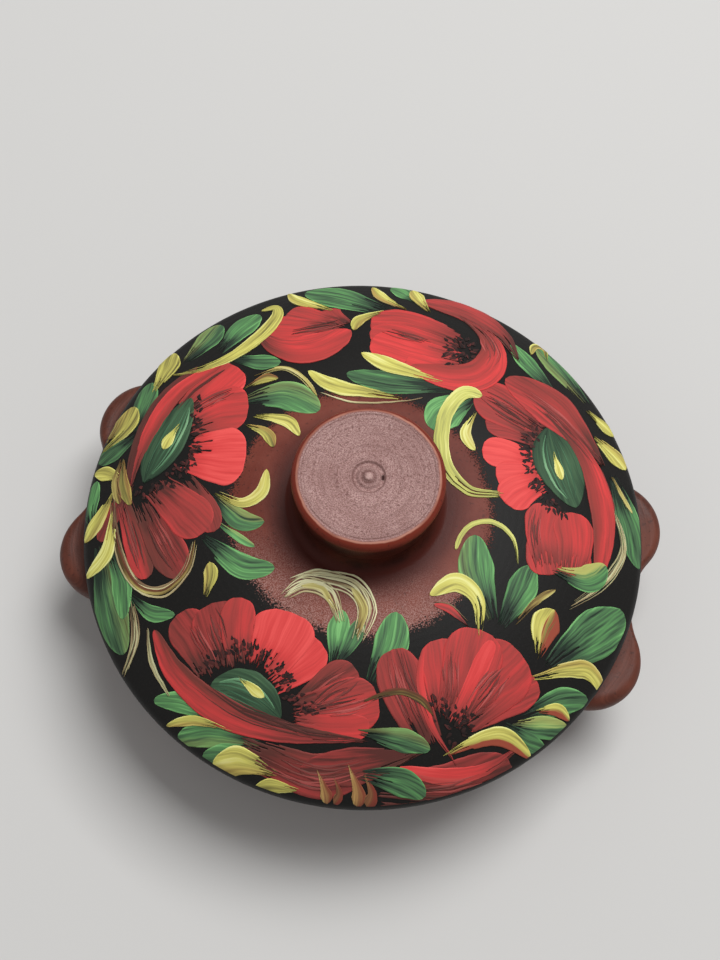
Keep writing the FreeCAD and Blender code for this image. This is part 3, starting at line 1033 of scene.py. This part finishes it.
bottomLeftBloom = {
    "petals": [
        (9, -0.3, 0.4, [(11, -113), (-12, -119), (-44, -110)]),
        (9.5, -0.25, 0.3, [(-78, -57), (-70, -66), (-61, -80)]),
        (11.5, -0.25, -0.3, [(-63, -52), (-59, -63), (-54, -78)]),
        (8, -0.05, 0.3, [(-50, -49), (-51, -62), (-48, -76)]),
        (10, 0.2, 0, [(-14, -66), (-22, -74), (-33, -83)]),
        (14, 0.25, 0, [(-28, -54), (-31, -64), (-37, -78)]),
        (9.5, -0.3, 0.3, [(3, -77), (-6, -83), (-19, -94)]),
        (12, -0.1, 0.2, [(13, -87), (-2, -92), (-22, -97)]),
        (6, 0.05, 0.2, [(10, -98), (-5, -100), (-22, -99)]),
    ],
    "lips": [
        (6, 0.0, -0.8, [(-88, -63), (-76, -81), (-54, -96), (-28, -103), (8, -104)]),
        (7.5, -0.36, 0.4, [(-18, -117), (6, -114), (32, -106)]),
    ],
    "capsules": [(9, 0, 0, [(-60, -86), (-46, -87), (-28, -98)])],
    "stamens": [(5, (-42, -88), [(-63, -79), (-54, -73), (-40, -72), (-30, -80), (-24, -92), (-13, -95)])],
    "leaves": [
        (4.5, 0.05, 0, [(-85, -92), (-72, -93), (-55, -99)]),
        (6, 0, 0.2, [(-73, -107), (-58, -105), (-37, -108)]),
        (5, -0.05, 0, [(-61, -114), (-50, -113), (-38, -110)]),
        (5, 0.1, 0, [(-6, -51), (-7, -60), (-8, -73)]),
        (4, 0, 0, [(3, -54), (0, -62), (-5, -73)]),
    ],
    "commas": [
        (2.4, 0.25, 0, [(-36, -90), (-41, -87), (-47, -83)]),
        (6, -0.1, 0.3, [(-56, -117), (-45, -115), (-29, -119)]),
        (3, 0, 0, [(-37, -125), (-28, -124), (-19, -125)]),
        (2.2, -0.1, 0.3, [(-78, -102), (-66, -100), (-51, -103)]),
    ],
    "tendrils": [
        (1.4, 0.35, 0, [(-25, -42), (-16, -43), (-9, -52)]),
        (1.9, 0.35, 0, [(-3, -41), (3, -50), (1, -62)]),
    ],
    "hairs": [
        (3.2, 0.42, 0, [(-33, -48), (-24, -41), (-12, -45), (-6, -58)]),
        (4.4, 0.42, 0, [(-26, -37), (-4, -39), (5, -50), (2, -64)]),
        (1.6, 0.3, 0, [(-30, -40), (-17, -35), (-4, -37)]),
    ],
    "shades": [
        (4, 0, 0.3, [(-64, -54), (-59, -64), (-54, -75)]),
        (2.5, 0.1, 0.2, [(-72, -60), (-66, -68), (-59, -78)]),
        (5.5, 0, 0.2, [(3, -77), (-6, -83), (-19, -94)]),
        (4, 0.15, 0, [(12, -86), (-2, -91), (-20, -96)]),
        (2.8, -0.25, 0.4, [(-70, -82), (-48, -96), (-24, -102), (8, -104)]),
        (1.8, -0.4, 0.6, [(-56, -89), (-38, -97), (-18, -102), (8, -104)]),
        (5, 0.05, 0.8, [(16, -112), (-10, -120), (-42, -111)]),
    ],
}

painting = [
    leftBloom, innerLeftSpray, topLeftBloom, topRightBloom, rightBloom, bottomRightBloom, bottomLeftBloom,
]

# How each family of strokes is brushed, in the order that they are laid. A head is the rounded share of the
# stroke's length and how square it is. A tail is where the narrowing starts, the width that is left and how
# late it comes. Streaks are the strength of broad and of fine bristle marks. Paint goes from dark to light,
# and the last colour is the second one that a double-loaded brush carries.
brush = {
    "step": 0.8, "waver": 0.6, "rimInset": 1.0, "layerStep": 0.006, "layers": 10, "seed": 4,
    "split": 0.0, "dryness": 0.0, "hair": 1100.0, "streaks": (0.7, 0.7), "edge": 0.0, "tailDark": 0.2,
    "bristle": 0.9, "streakLength": 30.0, "midTone": 0.56, "bump": 0.06,
}
families = {
    "leaves": {
        "lanes": 25, "head": (0.5, 1.8), "tail": (0.35, 0.3, 1.3), "rag": 4.5, "split": 0.55, "lift": 0.08,
        "streaks": (0.9, 1.2), "edge": 0.3, "tailDark": 0.6,
        "paint": [(36, 50, 40), (72, 105, 73), (94, 147, 90), (128, 190, 118), (186, 184, 104)]},
    "petals": {
        "lanes": 29, "head": (0.4, 2.4), "tail": (0.3, 0.62, 1.1), "rag": 5.0, "split": 0.45, "lift": 0.16,
        "streaks": (0.5, 0.5), "edge": 0.1, "tailDark": 0.3,
        "paint": [(92, 48, 44), (166, 64, 61), (214, 68, 67), (234, 88, 85), (100, 62, 54)]},
    "capsules": {
        "lanes": 17, "head": (0.5, 1.45), "tail": (0.5, 0.05, 2.6), "rag": 1.0, "lift": 0.23,
        "paint": [(30, 42, 35), (50, 73, 54), (73, 103, 74), (114, 150, 108), (150, 160, 90)]},
    "contours": {
        "lanes": 5, "head": (0.5, 1.6), "tail": (0.4, 0.2, 1.5), "rag": 1.5, "split": 0.3, "lift": 0.24,
        # how far across the capsule each line is, its half width and its tone
        "lines": [(0.8, 0.7, 0.2), (0.55, 0.45, -0.05), (0.25, 0.35, -0.15), (-0.1, 0.3, -0.25),
                  (-0.45, 0.35, -0.2)],
        "paint": [(48, 78, 58), (74, 114, 84), (106, 152, 112), (150, 190, 146), (150, 160, 90)]},
    "stamens": {
        "step": 0.3, "lanes": 7, "head": (0.5, 2.0), "tail": (0.3, 0.2, 1.2), "rag": 0.5, "lift": 0.24,
        "tailDark": 0.0,
        "dabs": {"perMm": 1.9, "scatter": 0.35, "swing": 0.45, "reach": (1.2, 3.8), "halfWidth": (0.5, 1.0),
                 "tone": (-0.3, 0.35)},
        "paint": [(26, 20, 20), (38, 28, 27), (56, 34, 32), (96, 46, 44), (30, 24, 24)]},
    "lips": {
        "lanes": 23, "head": (0.45, 1.8), "tail": (0.45, 0.1, 1.3), "rag": 4.0, "split": 0.4, "lift": 0.31,
        "streaks": (0.6, 0.6), "edge": 0.1, "tailDark": 0.45,
        "paint": [(90, 48, 44), (162, 63, 60), (214, 68, 67), (234, 92, 88), (92, 58, 50)]},
    "commas": {
        "lanes": 17, "head": (0.42, 1.6), "tail": (0.3, 0.22, 1.2), "rag": 5.0, "split": 0.65, "lift": 0.38,
        "streaks": (1.2, 1.2), "edge": 0.3,
        "paint": [(104, 98, 56), (172, 164, 86), (212, 206, 106), (234, 232, 152), (152, 74, 56)]},
    "ribbons": {
        "lanes": 17, "head": (0.1, 2.0), "tail": (0.55, 0.4, 1.4), "rag": 4.0, "split": 0.5, "lift": 0.4,
        "streaks": (1.3, 1.3), "edge": 0.3, "tailDark": 0.3,
        "paint": [(110, 106, 62), (168, 168, 96), (204, 204, 110), (232, 230, 148), (112, 134, 84)]},
    "tendrils": {
        "lanes": 11, "head": (0.25, 1.4), "tail": (0.5, 0.45, 1.3), "rag": 5.0, "split": 0.6, "lift": 0.42,
        "dryness": 0.2, "hair": 1500.0, "streaks": (1.6, 1.6), "edge": 0.2, "tailDark": 0.3,
        "paint": [(84, 66, 40), (142, 122, 70), (190, 178, 104), (218, 208, 146), (110, 58, 44)]},
    "hairs": {
        "lanes": 5, "head": (0.3, 1.4), "tail": (0.5, 0.3, 1.2), "rag": 1.0, "lift": 0.37,
        "streaks": (0.8, 0.8), "tailDark": 0.25,
        "bundle": {"perMm": 2.8, "thin": 0.22, "thick": 0.46, "ends": 0.45, "uneven": 0.1},
        "paint": [(82, 58, 46), (132, 106, 80), (192, 180, 134), (226, 222, 178), (118, 132, 98)]},
    "shades": {
        "lanes": 5, "head": (0.45, 1.2), "tail": (0.4, 0.15, 1.2), "rag": 2.0, "lift": 0.335,
        "streaks": (0.8, 0.8),
        "bundle": {"perMm": 2.0, "thin": 0.2, "thick": 0.6, "ends": 0.75, "uneven": 0.42},
        "paint": [(76, 44, 40), (118, 60, 56), (152, 70, 66), (182, 88, 84), (104, 78, 68)]},
    "flames": {
        "lanes": 11, "head": (0.3, 2.0), "tail": (0.28, 0.06, 0.7), "rag": 2.5, "split": 0.5, "lift": 0.4,
        "streaks": (0.8, 0.9), "edge": 0.2, "tailDark": -0.2,
        "paint": [(86, 52, 40), (134, 92, 62), (172, 134, 82), (208, 190, 118), (128, 60, 48)]},
}
families["frontLeaves"] = {**families["leaves"], "lift": 0.4}    # leaves that lie over the petals


def paintMaterial(family, work):
    dark, middle, bright, pale, second = (colour(*levels) for levels in work["paint"])
    material, tree, shader = newMaterial(family + "Paint", 0.5, 0.15)

    def value(name):
        return addNode(tree, "ShaderNodeAttribute", take="Fac", attribute_name=name)
    streaks = useGroup(tree, streakGroup, {
        "Along": value("alongLength"), "Across": value("acrossLength"), "Stroke": value("stroke"),
        "Bristle": work["bristle"] * mm, "Length": work["streakLength"] * mm})
    fine = streaks["Fine"] - 0.5
    broadShare, fineShare = work["streaks"]
    level = (streaks["Broad"] - 0.5) * broadShare + fine * fineShare + value("tone") + work["midTone"]
    level = level - rise(value("along"), 0.5, 1.0, 0.0, work["tailDark"])      # thinner at the tail
    across = value("across")
    level = level + rise(abs(across), 0.75, 1.0, 0.0, work["edge"])            # paint gathers at the edges
    ramp = addNode(tree, "ShaderNodeValToRGB", {0: level})
    stops = ramp.socket.node.color_ramp.elements
    stops[0].position, stops[0].color = 0.1, dark
    stops[-1].position, stops[-1].color = 0.98, pale
    stops.new(0.42).color = middle
    stops.new(0.72).color = bright
    load = value("load")
    side = across * calc("SIGN", load) + fine * 1.6
    share = rise(side, -0.15, 0.75) * abs(load)
    feed(shader["Base Color"], blendColour(share, ramp, second))
    feed(shader["Roughness"], rise(streaks["Fine"], 0.3, 0.7, 0.5, 0.62))
    addBump(shader, streaks["Fine"], work["bump"])
    return material


bristles = {
    "rows": 900.0, "shakes": 110.0,     # changes to a metre, across a stroke and over the lid
    "ragReach": 3.0,                    # spread of the tail's ends, in lengths of rag
    "cutPast": 1.5,                     # steps outside the rim where a stroke is cut
    "gapRun": 6.0, "gapFrom": 0.22, "gapGrowth": 0.5, "dryFrom": 0.05,
    "headingSpan": 0.2, "wander": 0.09, "toneSpread": (-0.4, 0.3),      # of the single lines in a bundle
}


def buildBrushTree():
    tree, given, result = newTree(
        "brush strokes", "Geometry",
        {"Lines": "Geometry", "Lid": "Object", "Lanes": 15, "Step": 0.001,
         "Head Length": 0.4, "Head Power": 2.0, "Tail Start": 0.4, "Tail Width": 0.2, "Tail Power": 1.3,
         "Rag": 0.003, "Split": 0.3, "Dryness": 0.0, "Hair": 1100.0, "Waver": 0.0006,
         "Rim": 0.129, "Sink": 0.00006, "Paint": "Material"},
        {"Strokes": "Geometry"})

    def value(name):
        return named(tree, name)

    def moved(geometry, **inputs):
        return addNode(tree, "GeometryNodeSetPosition", {"Geometry": geometry, **inputs})

    def without(geometry, selection, domain):
        inputs = {"Geometry": geometry, "Selection": selection}
        return addNode(tree, "GeometryNodeDeleteGeometry", inputs, domain=domain)

    # few points to a smooth line, evenly stepped
    curve = addNode(tree, "GeometryNodeMeshToCurve", {0: given["Lines"]})
    curve = addNode(tree, "GeometryNodeCurveSplineType", {0: curve}, spline_type="CATMULL_ROM")
    curve = addNode(tree, "GeometryNodeSetSplineResolution", {"Geometry": curve, "Resolution": 24})
    curve = addNode(tree, "GeometryNodeResampleCurve", {"Curve": curve, "Length": given["Step"]},
                    mode="LENGTH")
    curve = addNode(tree, "GeometryNodeSetCurveNormal", {"Curve": curve}, mode="Z_UP")
    factor = addNode(tree, "GeometryNodeSplineParameter", take="Factor")
    curve = store(curve, "along", factor)
    curve = store(curve, "alongLength", factor.beside("Length"))
    curve = store(curve, "forward", addNode(tree, "GeometryNodeInputTangent"), "FLOAT_VECTOR")

    # width along the stroke: round head, then narrowing to the tail
    along = value("along")
    short = 1.0 - calc("MINIMUM", along / given["Head Length"], 1.0)
    head = (1.0 - short ** given["Head Power"]) ** (1.0 / given["Head Power"])
    past = calc("MAXIMUM", along - given["Tail Start"], 0.0) / (1.0 - given["Tail Start"])
    loss = past ** given["Tail Power"] * (1.0 - given["Tail Width"])
    curve = store(curve, "headShare", head)
    width = head * (1.0 - loss) * value("halfWidth")
    line = addNode(tree, "GeometryNodeCurvePrimitiveLine", {"Start": (-1, 0, 0), "End": (1, 0, 0)})
    line = addNode(tree, "GeometryNodeResampleCurve", {"Curve": line, "Count": given["Lanes"]})
    line = store(line, "across", factor * 2.0 - 1.0)
    ribbon = addNode(tree, "GeometryNodeCurveToMesh", {"Curve": curve, "Profile Curve": line, "Scale": width})
    acrossLength = value("across") * value("headShare") * value("halfWidth")
    ribbon = store(ribbon, "acrossLength", acrossLength)

    # bristles lift unevenly at the tail, and the whole edge wavers a little
    lane = join(value("acrossLength") * bristles["rows"], value("stroke") * 3.7, 0.0)
    uneven = noise(lane, 1.0, 2.0, 0.7) - 0.5
    pull = uneven * rise(along, 0.5, 1.0) * (given["Rag"] * bristles["ragReach"])
    drag = scaled(named(tree, "forward", "FLOAT_VECTOR"), pull)
    position = addNode(tree, "GeometryNodeInputPosition")
    shakeAt = vectorCalc("ADD", scaled(position, bristles["shakes"]), join(0.0, 0.0, value("stroke")))
    shake = noise(shakeAt, 1.0).beside("Color")
    shake = scaled(vectorCalc("SUBTRACT", shake, (0.5, 0.5, 0.5)), given["Waver"] * 2.0)
    ribbon = moved(ribbon, Offset=vectorCalc("ADD", drag, shake))

    # gaps between bristles where the brush runs dry: once a gap opens it stays open to the tail
    gapRun = value("alongLength") * bristles["gapRun"]
    gapAt = join(value("acrossLength") * given["Hair"], gapRun, value("stroke") * 9.1)
    dry = calc("MAXIMUM", rise(along, 0.4, 1.0) * given["Split"], given["Dryness"])
    gap = calc("LESS_THAN", noise(gapAt, 1.0, 1.0), dry * bristles["gapGrowth"] + bristles["gapFrom"])
    ribbon = without(ribbon, gap * calc("GREATER_THAN", dry, bristles["dryFrom"]), "FACE")

    # nothing past the rim: cut a little outside it, then draw the edge in to it, down on the lid
    radius = fromAxis(position)
    limit = given["Rim"] + given["Step"] * bristles["cutPast"]
    ribbon = without(ribbon, calc("GREATER_THAN", radius, limit), "POINT")
    keep = calc("MINIMUM", given["Rim"] / radius, 1.0)
    x, y = split(position)[:2]
    hit = addNode(tree, "GeometryNodeRaycast", {
        "Target Geometry": addNode(tree, "GeometryNodeObjectInfo", {"Object": given["Lid"]}, "Geometry"),
        "Source Position": join(x * keep, y * keep, 0.3), "Ray Direction": (0, 0, -1), "Ray Length": 1.0},
        "Hit Position")
    ribbon = moved(store(ribbon, "upward", hit.beside("Hit Normal"), "FLOAT_VECTOR"), Position=hit)
    upward = named(tree, "upward", "FLOAT_VECTOR")
    sunk = moved(ribbon, Offset=scaled(upward, given["Sink"] * -1.0))

    # thickness of the paint: the sheet raised, with its sides and underside
    raised = addNode(tree, "GeometryNodeExtrudeMesh", {
        "Mesh": sunk, "Offset": upward, "Offset Scale": value("lift") + given["Sink"], "Individual": False})
    sides = addNode(tree, "GeometryNodeSetShadeSmooth", {
        "Geometry": raised, "Selection": raised.beside("Side"), "Shade Smooth": False})
    under = addNode(tree, "GeometryNodeFlipFaces", {"Mesh": sunk})
    both = addNode(tree, "GeometryNodeJoinGeometry", {0: under})
    feed(both.socket.node.inputs[0], sides)
    merged = addNode(tree, "GeometryNodeMergeByDistance", {"Geometry": both, "Distance": 0.002 * mm})
    feed(result["Strokes"], withFinish(merged, given["Paint"]))
    return tree


brushTree = buildBrushTree()


def stamenDabs(width, heart, points, source):
    # Short dark dabs scattered along the line of the stamens, most of them pointing away from the heart.
    dab = families["stamens"]["dabs"]
    dabs = []
    for (startX, startY), (endX, endY) in zip(points, points[1:]):
        length = math.hypot(endX - startX, endY - startY)
        for k in range(max(2, round(length * dab["perMm"]))):
            share = source.random()
            x = startX + (endX - startX) * share + source.gauss(0, width * dab["scatter"])
            y = startY + (endY - startY) * share + source.gauss(0, width * dab["scatter"])
            turn = math.atan2(y - heart[1], x - heart[0]) + source.gauss(0, dab["swing"])
            reach = source.uniform(*dab["reach"])
            tip = (x + reach * math.cos(turn), y + reach * math.sin(turn))
            dabs.append((source.uniform(*dab["halfWidth"]), source.uniform(*dab["tone"]), 0, [(x, y), tip]))
    return dabs


def capsuleContours(halfWidth, points):
    # Pale lines that follow the swell of the seed capsule from end to end.
    start, middle, end = (Vector(p) for p in points)
    chord = (end - start).normalized()
    across = Vector((-chord.y, chord.x))
    lines = []
    for share, width, tone in families["contours"]["lines"]:
        bow = middle + across * halfWidth * share * 1.5
        points = [start.lerp(bow, at).lerp(bow.lerp(end, at), at) for at in (0.1, 0.3, 0.5, 0.7, 0.9)]
        lines.append((width, tone, 0, points))
    return lines


def pointAlong(run, share):
    at = share * (len(run) - 1)
    k = min(int(at), len(run) - 2)
    return run[k].lerp(run[k + 1], at - k)


def bristleLines(bundle, halfWidth, tone, load, points, source):
    # A nearly dry brush leaves single bristle lines side by side, which start and stop unevenly.
    run = [Vector(p) for p in points]
    count = max(1, round(halfWidth * bundle["perMm"]))
    lines = []
    for k in range(count):
        share = (2 * k + 1) / count - 1
        start = source.uniform(0, bundle["uneven"])
        end = 1 - source.uniform(0, bundle["uneven"])
        moved = []
        for j in range(len(run)):
            at = start + (end - start) * j / (len(run) - 1)
            before, after = max(at - bristles["headingSpan"], 0), min(at + bristles["headingSpan"], 1)
            heading = (pointAlong(run, after) - pointAlong(run, before)).normalized()
            spread = bundle["ends"] + (1 - bundle["ends"]) * math.sin(math.pi * at)
            aside = halfWidth * (share * spread + source.gauss(0, bristles["wander"]))
            moved.append(pointAlong(run, at) + Vector((-heading.y, heading.x)) * aside)
        width = source.uniform(bundle["thin"], bundle["thick"])
        shade = tone + source.uniform(*bristles["toneSpread"])
        lines.append((width, shade, load * source.random(), moved))
    return lines


def strokesOf(family):
    # Each stroke of the family with its layer in its own group, so that neighbours don't lie in one plane.
    source = random.Random(brush["seed"])
    bundle = families[family].get("bundle")
    strokes = []
    for bunch in painting:
        drawn = bunch.get("capsules" if family == "contours" else family, [])
        made = []
        for stroke in drawn:
            if family == "stamens":
                made.extend(stamenDabs(*stroke, source))
            elif family == "contours":
                made.extend(capsuleContours(stroke[0], stroke[-1]))
            elif bundle:
                made.extend(bristleLines(bundle, *stroke, source))
            else:
                made.append(stroke)
        strokes.extend((order % brush["layers"], *stroke) for order, stroke in enumerate(made))
    return strokes


def paintPiece(family):
    work = {**brush, **families[family]}
    strokes = strokesOf(family)
    turn = Matrix.Rotation(layoutTurn, 2)
    points = []
    edges = []
    values = {"halfWidth": [], "tone": [], "load": [], "stroke": [], "lift": []}
    for number, (layer, halfWidth, tone, load, line) in enumerate(strokes, 1):
        lift = (work["lift"] + layer * work["layerStep"]) * mm
        for k, point in enumerate(line):
            place = turn @ Vector(point) * mm
            if k:
                edges.append((len(points) - 1, len(points)))
            points.append((place.x, place.y, 0.0))
            for numbers, amount in zip(values.values(), (halfWidth * mm, tone, load, number, lift)):
                numbers.append(amount)
    headLength, headPower = work["head"]
    tailStart, tailWidth, tailPower = work["tail"]
    piece = runTree(newLines(family + "Lines", points, edges, values), brushTree, {
        "Lid": canvas, "Lanes": work["lanes"], "Step": work["step"] * mm,
        "Head Length": headLength, "Head Power": headPower,
        "Tail Start": tailStart, "Tail Width": tailWidth, "Tail Power": tailPower,
        "Rag": work["rag"] * mm, "Split": work["split"], "Dryness": work["dryness"], "Hair": work["hair"],
        "Waver": work["waver"] * mm, "Rim": lidRadius - work["rimInset"] * mm,
        "Paint": paintMaterial(family, work)}, "painted_" + family)
    finished(piece, "lid", None)
    print(piece.name, len(strokes), "strokes,", len(piece.data.polygons), "faces")


for family in families:
    paintPiece(family)
bpy.data.objects.remove(canvas)


# Floor, light and camera

stage = {
    "floor": colour(206, 205, 203), "world": 0.3, "backdrop": 0.5, "floorSize": 12.0,
    "fadeFrom": 0.6, "fadeTo": 2.6,      # metres from the pot, over which the floor turns into the backdrop
}


def makeFloor():
    half = stage["floorSize"] / 2
    mesh = bpy.data.meshes.new("floor")
    corners = [(-half, -half, 0), (half, -half, 0), (half, half, 0), (-half, half, 0)]
    mesh.from_pydata(corners, [], [(0, 1, 2, 3)])
    material, tree, shader = newMaterial("paleFloor", 0.8, 0.0)
    away = vectorCalc("LENGTH", addNode(tree, "ShaderNodeTexCoord", take="Object"))
    far = rise(away, stage["fadeFrom"], stage["fadeTo"])
    seen = addNode(tree, "ShaderNodeLightPath", take="Is Camera Ray")
    feed(shader["Base Color"], blendColour(far, stage["floor"], colour(0, 0, 0)))
    feed(shader["Emission Color"], (1.0, 1.0, 1.0, 1.0))
    feed(shader["Emission Strength"], far * seen * stage["backdrop"])
    mesh.materials.append(material)
    floor = newObject("floor", mesh)


def makeWorld():
    world = bpy.data.worlds.new("softRoom")
    world.use_nodes = True
    shade = world.node_tree.nodes["Background"].inputs
    feed(shade["Color"], (1.0, 1.0, 1.0, 1.0))
    glossy = addNode(world.node_tree, "ShaderNodeLightPath", take="Is Glossy Ray")
    seen = calc("MAXIMUM", glossy, glossy.beside("Is Transmission Ray"))
    seen = calc("MAXIMUM", glossy.beside("Is Camera Ray"), seen)
    feed(shade["Strength"], rise(seen, 0.0, 1.0, stage["world"], stage["backdrop"], "LINEAR"))
    bpy.context.scene.world = world


lamps = [
    {"name": "key", "place": (0.6, 1.1, 2.8), "size": 1.7, "power": 84.0},
    {"name": "fill", "place": (-2.2, -2.2, 2.2), "size": 2.9, "power": 6.0},
]
lampAim = Vector((0, 0, 0.06))


def makeLamps():
    for lamp in lamps:
        light = bpy.data.lights.new(lamp["name"], "AREA")
        light.size = lamp["size"]
        light.energy = lamp["power"]
        made = newObject(lamp["name"], light)
        made.location = lamp["place"]
        made.rotation_euler = (lampAim - made.location).to_track_quat("-Z", "Y").to_euler()


cameraView = {
    "lens": 54.0, "sensor": 36.0, "nearest": 0.01, "distance": 674.3, "elevation": 68.9,
    "pan": -0.34, "tilt": 1.94, "roll": 5.30,
    "rimDrop": 4.0,      # from the top of the rim's edge to its outline
}


def swung(first, second, angle):
    # two of the camera's axes turned in their own plane
    cosine, sine = math.cos(angle), math.sin(angle)
    return first * cosine - second * sine, first * sine + second * cosine


def makeCamera():
    # Looks down on the lid as the photograph does.
    centre = Vector((0, 0, seatHeight + (lid["edgeHeight"] - cameraView["rimDrop"]) * mm))
    lift, pan, tilt, roll = (math.radians(cameraView[k]) for k in ("elevation", "pan", "tilt", "roll"))
    upright = Vector((0, 0, 1))
    right = Vector((math.cos(layoutTurn), math.sin(layoutTurn), 0))
    away = Vector((-math.sin(layoutTurn), math.cos(layoutTurn), 0))
    back = upright * math.sin(lift) - away * math.cos(lift)
    up = away * math.sin(lift) + upright * math.cos(lift)
    ahead = -back
    right, ahead = swung(right, ahead, pan)
    up, ahead = swung(up, ahead, tilt)
    right, up = swung(right, up, -roll)
    data = bpy.data.cameras.new("camera")
    data.lens = cameraView["lens"]
    data.sensor_width = cameraView["sensor"]
    data.clip_start = cameraView["nearest"]
    made = newObject("camera", data)
    place = centre + back * cameraView["distance"] * mm
    made.matrix_world = Matrix.Translation(place) @ Matrix((right, up, -ahead)).transposed().to_4x4()
    bpy.context.scene.camera = made


makeFloor()
makeWorld()
makeLamps()
makeCamera()
bpy.context.scene.view_settings.view_transform = "Standard"
print("stage set")
